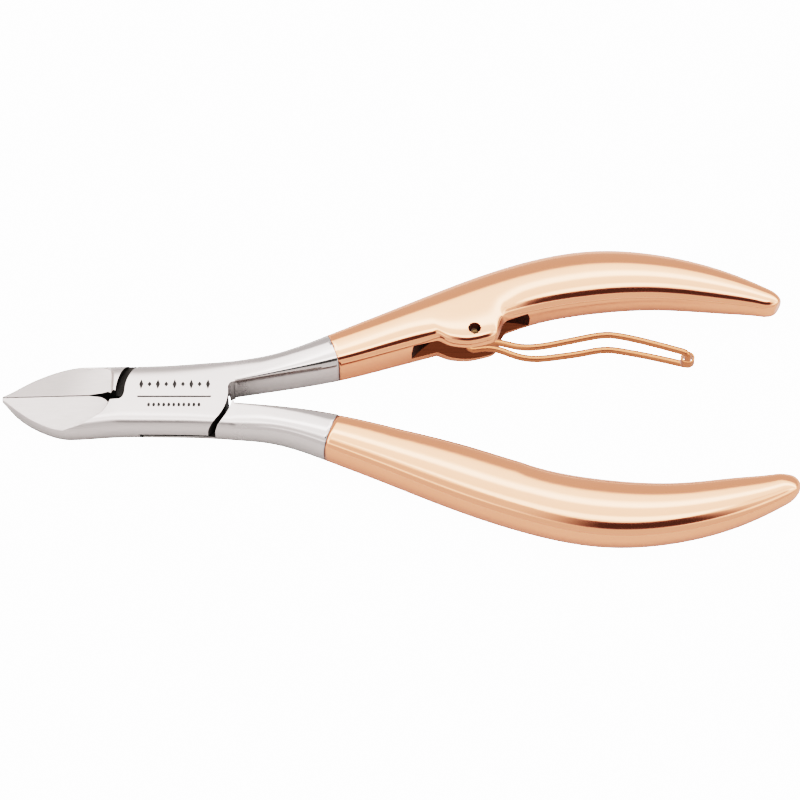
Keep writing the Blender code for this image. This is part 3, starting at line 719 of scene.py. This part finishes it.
def leg_points():
    """Centre line of the front leg, from its eye to the bend before the roller."""
    half_gap = linear(LEG_SPREAD)
    eye_z = HANDLE_MID + half_gap(PIN_CENTRE[0])
    points = []
    for angle in np.radians(np.linspace(0.0, 280.0, 57)):
        points.append((PIN_CENTRE[0] + EYE_RADIUS * math.cos(angle),
                       PIN_CENTRE[1] + EYE_RADIUS * math.sin(angle), eye_z))
    start = points[-1]
    height = natural_spline(((start[0], start[1]),) + LEG_POINTS)
    width = soft_linear(LEG_SPREAD, 2.5)
    end_x = ROLLER_CENTRE[0] - BEND_RADIUS
    for x in spread(start[0], end_x, 0.35)[1:]:
        ease = smooth_step((x - start[0]) / 3.0)
        half = float(width(x) * ease + half_gap(PIN_CENTRE[0]) * (1 - ease))
        points.append((x, float(height(x)), HANDLE_MID + half))
    corner_y = float(height(end_x))
    half = float(width(ROLLER_CENTRE[0]))
    for angle in np.radians(np.linspace(0.0, 90.0, 13)[1:]):
        share = math.sin(angle)
        points.append((end_x + BEND_RADIUS * share, corner_y + (ROLLER_CENTRE[1] - corner_y) * share,
                       HANDLE_MID + half - BEND_RADIUS * (1 - math.cos(angle))))
    return points


def sweep(name, points, radius, sides):
    """A closed round wire along the points, with a frame carried along without twist."""
    path = [Vector(p) for p in points]
    tangents = []
    for i in range(len(path)):
        ahead = path[min(i + 1, len(path) - 1)]
        behind = path[max(i - 1, 0)]
        tangents.append((ahead - behind).normalized())
    normal = tangents[0].orthogonal().normalized()
    rings = []
    for point, tangent in zip(path, tangents):
        normal = (normal - tangent * normal.dot(tangent)).normalized()
        across = tangent.cross(normal)
        angles = [2 * math.pi * k / sides for k in range(sides)]
        rings.append([tuple(point + radius * (normal * math.cos(a) + across * math.sin(a)))
                      for a in angles])
    return loft(name, rings)


def build_spring(material):
    front = leg_points()
    back = [(x, y, 2 * HANDLE_MID - z) for x, y, z in reversed(front)]
    spring = sweep("spring_wire_shown", front + back, WIRE_RADIUS, WIRE_SIDES)
    spring.data.materials.append(material)
    return spring


def turned(name, profile, centre, material, sides=96):
    """A body turned about an upright axis from a closed profile of (radius, z) points."""
    rings = []
    for radius, z in profile:
        angles = [2 * math.pi * k / sides for k in range(sides)]
        rings.append([(centre[0] + radius * math.cos(a), centre[1] + radius * math.sin(a), z)
                      for a in angles])
    obj = loft(name, rings)
    obj.data.set_sharp_from_angle(angle=math.radians(35))
    obj.data.materials.append(material)
    return obj


def rounded_pin(radius, low, high, edge):
    """Profile of a plain pin with rounded rims."""
    profile = [(0.02, low)]
    for angle in np.linspace(0.0, math.pi / 2, 6):
        profile.append((radius - edge + edge * math.sin(angle), low + edge - edge * math.cos(angle)))
    for angle in np.linspace(0.0, math.pi / 2, 6):
        profile.append((radius - edge + edge * math.cos(angle), high - edge + edge * math.sin(angle)))
    profile.append((0.02, high))
    return profile


def build_roller(material):
    """The short tube on the spring's cross-bar, with rounded rims."""
    low = HANDLE_MID - ROLLER_LENGTH / 2
    high = HANDLE_MID + ROLLER_LENGTH / 2
    rim = ROLLER_RIM
    profile = []
    for radius, z, start in ((ROLLER_OUTER_RADIUS - rim, low + rim, -90),
                             (ROLLER_OUTER_RADIUS - rim, high - rim, 0),
                             (ROLLER_BORE_RADIUS + rim, high - rim, 90),
                             (ROLLER_BORE_RADIUS + rim, low + rim, 180)):
        for angle in np.radians(np.linspace(start, start + 90, 7)):
            profile.append((radius + rim * math.cos(angle), z + rim * math.sin(angle)))
    sides = 72
    verts = []
    for k in range(sides):
        turn = 2 * math.pi * k / sides
        for radius, z in profile:
            verts.append((MM * (ROLLER_CENTRE[0] + radius * math.cos(turn)),
                          MM * (ROLLER_CENTRE[1] + radius * math.sin(turn)), MM * z))
    count = len(profile)
    faces = []
    for k in range(sides):
        for i in range(count):
            j = (i + 1) % count
            m = (k + 1) % sides
            faces.append((k * count + i, m * count + i, m * count + j, k * count + j))
    mesh = bpy.data.meshes.new("roller_shown")
    mesh.from_pydata(verts, [], faces)
    bm = bmesh.new()
    bm.from_mesh(mesh)
    bmesh.ops.remove_doubles(bm, verts=bm.verts, dist=0.0005 * MM)
    bmesh.ops.recalc_face_normals(bm, faces=bm.faces)
    bm.to_mesh(mesh)
    bm.free()
    mesh.shade_smooth()
    roller = link(bpy.data.objects.new("roller_shown", mesh))
    roller.data.materials.append(material)
    return roller


def metal(name, colour, roughness, rough_spread, brush, bump):
    """A metal with fine brush marks along x, small changes of polish and faint cloudiness of colour."""
    material = bpy.data.materials.new(name)
    material.use_nodes = True
    tree = material.node_tree
    shader = tree.nodes["Principled BSDF"]
    shader.inputs["Metallic"].default_value = 1.0
    place = tree.nodes.new("ShaderNodeTexCoord")
    stretch = tree.nodes.new("ShaderNodeMapping")
    stretch.inputs["Scale"].default_value = (brush, 40 * brush, 40 * brush)
    tree.links.new(place.outputs["Object"], stretch.inputs["Vector"])
    marks = tree.nodes.new("ShaderNodeTexNoise")
    marks.inputs["Scale"].default_value = 1.0
    marks.inputs["Detail"].default_value = 5.0
    tree.links.new(stretch.outputs["Vector"], marks.inputs["Vector"])
    cloud = tree.nodes.new("ShaderNodeTexNoise")
    cloud.inputs["Scale"].default_value = 90.0
    cloud.inputs["Detail"].default_value = 3.0
    tree.links.new(place.outputs["Object"], cloud.inputs["Vector"])
    tint = tree.nodes.new("ShaderNodeMix")
    tint.data_type = "RGBA"
    tint.inputs["A"].default_value = (*[c * 0.96 for c in colour], 1.0)
    tint.inputs["B"].default_value = (*[min(1.0, c * 1.04) for c in colour], 1.0)
    tree.links.new(cloud.outputs["Fac"], tint.inputs["Factor"])
    tree.links.new(tint.outputs["Result"], shader.inputs["Base Color"])
    polish = tree.nodes.new("ShaderNodeMapRange")
    polish.inputs["From Min"].default_value = 0.3
    polish.inputs["From Max"].default_value = 0.7
    polish.inputs["To Min"].default_value = roughness
    polish.inputs["To Max"].default_value = roughness + rough_spread
    tree.links.new(marks.outputs["Fac"], polish.inputs["Value"])
    tree.links.new(polish.outputs["Result"], shader.inputs["Roughness"])
    relief = tree.nodes.new("ShaderNodeBump")
    relief.inputs["Strength"].default_value = bump
    relief.inputs["Distance"].default_value = 0.00002
    tree.links.new(marks.outputs["Fac"], relief.inputs["Height"])
    edge = tree.nodes.new("ShaderNodeBevel")
    edge.samples = 6
    edge.inputs["Radius"].default_value = 0.12 * MM
    tree.links.new(edge.outputs["Normal"], relief.inputs["Normal"])
    tree.links.new(relief.outputs["Normal"], shader.inputs["Normal"])
    return material


def roughen_and_paint_shade_on_head(material):
    """Raises the roughness towards the jaws and paints shade into the base colour in corners where little
    light comes in.
    """
    tree = material.node_tree
    shader = tree.nodes["Principled BSDF"]
    place = next(node for node in tree.nodes if node.bl_idname == "ShaderNodeTexCoord")
    split = tree.nodes.new("ShaderNodeSeparateXYZ")
    tree.links.new(place.outputs["Object"], split.inputs["Vector"])
    extra = tree.nodes.new("ShaderNodeMapRange")
    extra.interpolation_type = "SMOOTHSTEP"
    extra.inputs["From Min"].default_value = 8.0 * MM
    extra.inputs["From Max"].default_value = 16.0 * MM
    extra.inputs["To Min"].default_value = 0.16
    extra.inputs["To Max"].default_value = 0.0
    tree.links.new(split.outputs["X"], extra.inputs["Value"])
    total = tree.nodes.new("ShaderNodeMath")
    total.operation = "ADD"
    tree.links.new(shader.inputs["Roughness"].links[0].from_socket, total.inputs[0])
    tree.links.new(extra.outputs["Result"], total.inputs[1])
    tree.links.new(total.outputs["Value"], shader.inputs["Roughness"])
    # Painted shade: ambient occlusion darkens the base colour in corners and between the parts
    corner = tree.nodes.new("ShaderNodeAmbientOcclusion")
    corner.samples = 12
    corner.inputs["Distance"].default_value = 5.0 * MM
    shade = tree.nodes.new("ShaderNodeMapRange")
    shade.inputs["From Min"].default_value = 0.15
    shade.inputs["From Max"].default_value = 0.55
    shade.inputs["To Min"].default_value = 0.4
    tree.links.new(corner.outputs["AO"], shade.inputs["Value"])
    darker = tree.nodes.new("ShaderNodeMix")
    darker.data_type = "RGBA"
    darker.blend_type = "MULTIPLY"
    darker.inputs["Factor"].default_value = 1.0
    tree.links.new(shader.inputs["Base Color"].links[0].from_socket, darker.inputs["A"])
    tree.links.new(shade.outputs["Result"], darker.inputs["B"])
    tree.links.new(darker.outputs["Result"], shader.inputs["Base Color"])


def dark_metal(name, colour, roughness, metallic=0.4):
    material = metal(name, colour, roughness, 0.15, 300.0, 0.3)
    material.node_tree.nodes["Principled BSDF"].inputs["Metallic"].default_value = metallic
    return material


def make_world():
    """A white studio round the object: overhead soft box, darker low walls, one dark strip in front."""
    world = bpy.data.worlds.new("studio")
    bpy.context.scene.world = world
    world.use_nodes = True
    tree = world.node_tree
    background = tree.nodes["Background"]
    place = tree.nodes.new("ShaderNodeTexCoord")
    split = tree.nodes.new("ShaderNodeSeparateXYZ")
    tree.links.new(place.outputs["Generated"], split.inputs["Vector"])

    def math_node(operation, a, b=None, c=None):
        node = tree.nodes.new("ShaderNodeMath")
        node.operation = operation
        for socket, value in zip(node.inputs, (a, b, c)):
            if value is None:
                continue
            if isinstance(value, (int, float)):
                socket.default_value = value
            else:
                tree.links.new(value, socket)
        return node.outputs["Value"]

    x, y, z = split.outputs["X"], split.outputs["Y"], split.outputs["Z"]
    # The angle round the x axis: 0 at the front horizon, 90 overhead, 180 at the back horizon
    turn = math_node("ARCTAN2", z, math_node("MULTIPLY", y, -1.0))
    degrees = math_node("MULTIPLY", turn, 180.0 / math.pi)
    share = math_node("DIVIDE", math_node("ADD", degrees, 180.0), 360.0)
    ramp = tree.nodes.new("ShaderNodeValToRGB")
    elements = ramp.color_ramp.elements
    while len(elements) < len(WORLD_STOPS):
        elements.new(0.5)
    for element, (angle, value) in zip(elements, WORLD_STOPS):
        element.position = (angle + 180.0) / 360.0
        grey = value / LEVEL_SCALE
        element.color = (grey, grey, grey, 1.0)
    tree.links.new(share, ramp.inputs["Fac"])
    level = math_node("MULTIPLY", ramp.outputs["Color"], LEVEL_SCALE)
    # The dark strip: a band of front elevations, from a little left of centre round to the right
    elevation = math_node("MULTIPLY", math_node("ARCSINE", z), 180.0 / math.pi)
    toward = math_node("MULTIPLY", y, -1.0)
    azimuth = math_node("MULTIPLY", math_node("ARCTAN2", x, toward), 180.0 / math.pi)

    def band(value, low, high, soft):
        rise = tree.nodes.new("ShaderNodeMapRange")
        rise.interpolation_type = "SMOOTHSTEP"
        rise.inputs["From Min"].default_value = low - soft
        rise.inputs["From Max"].default_value = low + soft
        tree.links.new(value, rise.inputs["Value"])
        fall = tree.nodes.new("ShaderNodeMapRange")
        fall.interpolation_type = "SMOOTHSTEP"
        fall.inputs["From Min"].default_value = high - soft
        fall.inputs["From Max"].default_value = high + soft
        fall.inputs["To Min"].default_value = 1.0
        fall.inputs["To Max"].default_value = 0.0
        tree.links.new(value, fall.inputs["Value"])
        return math_node("MULTIPLY", rise.outputs["Result"], fall.outputs["Result"])

    strong = math_node("MULTIPLY", band(azimuth, STRIP[2], STRIP[3], 14.0), STRIP_RIGHT - STRIP_LEFT)
    facing = band(azimuth, -80.0, 80.0, 14.0)
    depth = math_node("ADD", strong, math_node("MULTIPLY", facing, STRIP_LEFT))
    strip = math_node("MULTIPLY", band(elevation, STRIP[0], STRIP[1], 2.0), depth)
    level = math_node("MULTIPLY", level, math_node("SUBTRACT", 1.0, strip))
    path = tree.nodes.new("ShaderNodeLightPath")
    shown = tree.nodes.new("ShaderNodeMix")
    shown.data_type = "FLOAT"
    tree.links.new(path.outputs["Is Camera Ray"], shown.inputs["Factor"])
    tree.links.new(level, shown.inputs["A"])
    shown.inputs["B"].default_value = PAPER_LEVEL
    tree.links.new(shown.outputs["Result"], background.inputs["Strength"])
    background.inputs["Color"].default_value = (1.0, 1.0, 1.0, 1.0)


def make_floor():
    bm = bmesh.new()
    bmesh.ops.create_grid(bm, x_segments=8, y_segments=8, size=1.5)
    mesh = bpy.data.meshes.new("studio_floor")
    bm.to_mesh(mesh)
    bm.free()
    floor = link(bpy.data.objects.new("studio_floor", mesh))
    floor.location = (0.035, 0.0, -0.0001)
    material = bpy.data.materials.new("pale_floor")
    material.use_nodes = True
    tree = material.node_tree
    shader = tree.nodes["Principled BSDF"]
    shader.inputs["Roughness"].default_value = 0.9
    shader.inputs["Specular IOR Level"].default_value = 0.1
    shader.inputs["Emission Color"].default_value = (1.0, 1.0, 1.0, 1.0)
    path = tree.nodes.new("ShaderNodeLightPath")
    shader.inputs["Base Color"].default_value = (0.55, 0.55, 0.55, 1.0)
    glow = tree.nodes.new("ShaderNodeMix")
    glow.data_type = "FLOAT"
    glow.inputs["A"].default_value = 0.0
    glow.inputs["B"].default_value = PAPER_LEVEL
    tree.links.new(path.outputs["Is Camera Ray"], glow.inputs["Factor"])
    tree.links.new(glow.outputs["Result"], shader.inputs["Emission Strength"])
    mesh.materials.append(material)


def make_camera():
    camera = bpy.data.cameras.new("camera")
    camera.lens = LENS
    camera.sensor_width = 36.0
    camera.clip_start = 0.01
    camera.clip_end = 10.0
    obj = link(bpy.data.objects.new("camera", camera))
    elevation = math.radians(CAMERA_ELEVATION)
    back = Vector((0.0, -math.cos(elevation), math.sin(elevation)))
    obj.location = MM * (Vector(AIM) + CAMERA_DISTANCE * back)
    obj.rotation_euler = (math.pi / 2 - elevation, 0.0, 0.0)
    bpy.context.scene.camera = obj


def main():
    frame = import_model()
    bodies = {node: obj["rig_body"] for node, obj in frame["nodes"].items()}
    view = bpy.context.scene.view_settings
    view.view_transform = "Filmic"
    view.look = "Very High Contrast"

    steel = metal("polished_steel", (0.485, 0.44, 0.426), 0.12, 0.05, 60.0, 0.12)
    roughen_and_paint_shade_on_head(steel)
    satin = metal("ground_steel", (0.475, 0.435, 0.42), 0.52, 0.1, 120.0, 0.25)
    # Near-black steel: painted shade in the joint's gaps, recesses and bore, and the engraving's own dark
    # fill
    shade_and_engraving = dark_metal("painted_shade_and_engraving_steel", (0.022, 0.018, 0.016), 0.5)
    gold = metal("rose_gold", (0.82, 0.335, 0.213), 0.08, 0.05, 60.0, 0.08)
    wire = metal("rose_gold_wire", (0.45, 0.17, 0.095), 0.24, 0.05, 20.0, 0.03)
    # Near-black rose gold: painted shade inside the spring slot and the pin hole
    painted_shade_gold = metal("painted_shade_rose_gold", (0.065, 0.025, 0.013), 0.34, 0.15, 90.0, 0.5)
    # Near-black pin: painted shade, the pin coloured as dark as the shade in its hole
    pin_steel = dark_metal("pin_steel", (0.1, 0.06, 0.03), 0.2, 0.9)

    shown = {
        "front_head": build_head("front_head_shown", True, (steel, satin, shade_and_engraving)),
        "rear_head": build_head("rear_head_shown", False, (steel, satin, shade_and_engraving)),
        "upper_handle": build_handle("upper_handle_shown", 1.0, True, UPPER_HANDLE_END_X,
                                     UPPER_END_ROUNDING, (gold, painted_shade_gold)),
        "lower_handle": build_handle("lower_handle_shown", -1.0, False, LOWER_HANDLE_END_X,
                                     LOWER_END_ROUNDING, (gold, painted_shade_gold)),
        "wire_spring": build_spring(wire),
        "roller_sleeve": build_roller(wire),
        "spring_pin": turned("spring_pin_shown", rounded_pin(PIN_RADIUS, HANDLE_MID - PIN_LENGTH / 2,
                                                             HANDLE_MID + PIN_LENGTH / 2, 0.45),
                             PIN_CENTRE, pin_steel),
        "pivot_rivet": turned("pivot_rivet_shown", rounded_pin(RIVET_RADIUS, 0.0, RIVET_TOP_Z, 0.15),
                              (0.0, 0.0), satin),
    }
    for node, obj in shown.items():
        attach(obj, bodies[node])
        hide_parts(node)
    for node in ("upper_handle", "lower_handle", "wire_spring", "roller_sleeve", "spring_pin"):
        shown[node].visible_glossy = False
    make_world()
    make_floor()
    make_camera()


main()
